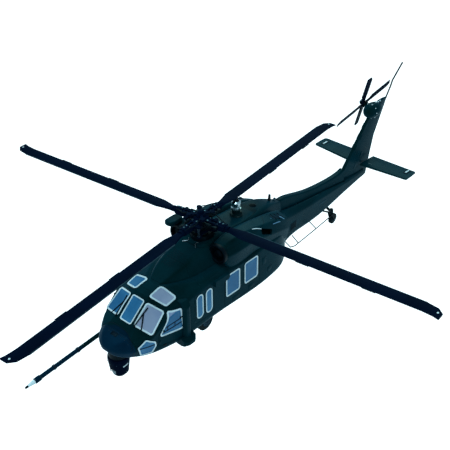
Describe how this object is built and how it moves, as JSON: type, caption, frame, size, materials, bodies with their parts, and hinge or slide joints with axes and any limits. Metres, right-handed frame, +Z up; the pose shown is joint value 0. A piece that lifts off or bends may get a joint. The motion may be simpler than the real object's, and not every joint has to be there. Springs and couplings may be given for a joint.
{
  "type": "helicopter display model",
  "caption": "Scale display model of a twin-engined utility helicopter with turning rotors and wheels, a tilting tail plane and a nose sensor turret, held by a socket in its belly.",
  "frame": {"origin": "centre of the stand socket's mouth, on the belly straight under the main rotor mast", "axes": "+Z up along the socket and the mast, -Y towards the nose, +X towards the aircraft's port side"},
  "size_m": [0.4058, 0.4916, 0.1427],
  "materials": {
    "hull_paint": "semi-gloss, very dark green",
    "nose_paint": "semi-gloss, blue-black",
    "rotor_black": "satin, blue-black",
    "black_plastic": "satin black",
    "inner_plastic": "matt grey, unseen",
    "pane": "gloss, blue tinted clear plastic",
    "silver": "bright",
    "steel": "bright drawn",
    "tyre": "matt black"
  },
  "bodies": {
    "airframe": {"hull_port": "hull_paint", "hull_starboard": "hull_paint", "seam_pins": "inner_plastic", "stand_socket": "black_plastic", "windshield_centre": "pane", "side_windshields": "pane", "eyebrow_windows": "pane", "door_windows": "pane", "chin_windows": "pane", "gunner_windows": "pane", "cabin_windows": "pane", "nose_cap": "nose_paint", "roof_cowl": "hull_paint", "mast_ring": "black_plastic", "mast_bush": "inner_plastic", "engine_nacelle_port": "hull_paint", "engine_nacelle_starboard": "hull_paint", "engine_intakes": "black_plastic", "exhaust_port": "hull_paint", "exhaust_starboard": "hull_paint", "jammer_drum": "silver", "hoist_pod": "hull_paint", "boom_port": "hull_paint", "boom_starboard": "hull_paint", "spine_cover": "hull_paint", "tail_gearbox": "hull_paint", "gear_fairings": "hull_paint", "wheel_wells": "black_plastic", "main_axles": "steel", "tail_leg": "black_plastic", "turret_mount": "black_plastic", "refuel_probe": "hull_paint", "tail_rotor_pin": "steel", "towel_rail": "black_plastic", "antennas": "black_plastic", "wipers": "black_plastic"},
    "main_rotor": {"mast": "steel", "mast_clip": "steel", "swashplate": "black_plastic", "pitch_links": "black_plastic", "rotor_hub": "rotor_black", "hub_bolts": "silver", "blade_dampers": "black_plastic", "hub_absorber": "silver", "main_blade_a": "rotor_black", "main_blade_b": "rotor_black", "main_blade_c": "rotor_black", "main_blade_d": "rotor_black"},
    "tail_rotor": {"tail_rotor_discs": "black_plastic", "tail_paddle_a": "rotor_black", "tail_paddle_b": "rotor_black"},
    "stabilator": {"stabilator": "hull_paint", "stabilator_rod": "steel"},
    "wheel_port": {"main_wheel_port": "tyre"},
    "wheel_starboard": {"main_wheel_starboard": "tyre"},
    "tail_fork": {"tail_fork": "black_plastic", "tail_axle": "steel"},
    "tail_wheel": {"tail_wheel": "tyre"},
    "turret_yoke": {"turret_yoke": "black_plastic"},
    "turret_ball": {"turret_ball": "black_plastic"}
  },
  "joints": [
    {"name": "main_rotor_spin", "type": "hinge", "parent": "airframe", "child": "main_rotor", "pos_m": [0, 0, 0.0745], "axis": [0, 0, 1], "continuous": true},
    {"name": "tail_rotor_spin", "type": "hinge", "parent": "airframe", "child": "tail_rotor", "pos_m": [0, 0.2412, 0.0808], "axis": [-0.9272, 0, 0.3746], "continuous": true},
    {"name": "stabilator_tilt", "type": "hinge", "parent": "airframe", "child": "stabilator", "pos_m": [0, 0.228, 0.0308], "axis": [-1, 0, 0], "range_deg": [-8, 39]},
    {"name": "main_wheel_port_spin", "type": "hinge", "parent": "airframe", "child": "wheel_port", "pos_m": [0.0242, -0.024, -0.0002], "axis": [1, 0, 0], "continuous": true},
    {"name": "main_wheel_starboard_spin", "type": "hinge", "parent": "airframe", "child": "wheel_starboard", "pos_m": [-0.0242, -0.024, -0.0002], "axis": [1, 0, 0], "continuous": true},
    {"name": "tail_wheel_swivel", "type": "hinge", "parent": "airframe", "child": "tail_fork", "pos_m": [0, 0.1844, -0.0086], "axis": [0, 0, 1], "continuous": true},
    {"name": "tail_wheel_spin", "type": "hinge", "parent": "tail_fork", "child": "tail_wheel", "pos_m": [0, 0.1874, -0.0163], "axis": [1, 0, 0], "continuous": true},
    {"name": "turret_pan", "type": "hinge", "parent": "airframe", "child": "turret_yoke", "pos_m": [0, -0.0948, -0.006], "axis": [0, 0, 1], "continuous": true},
    {"name": "turret_tilt", "type": "hinge", "parent": "turret_yoke", "child": "turret_ball", "pos_m": [0, -0.0948, -0.0178], "axis": [1, 0, 0], "range_deg": [-30, 60]}
  ]
}
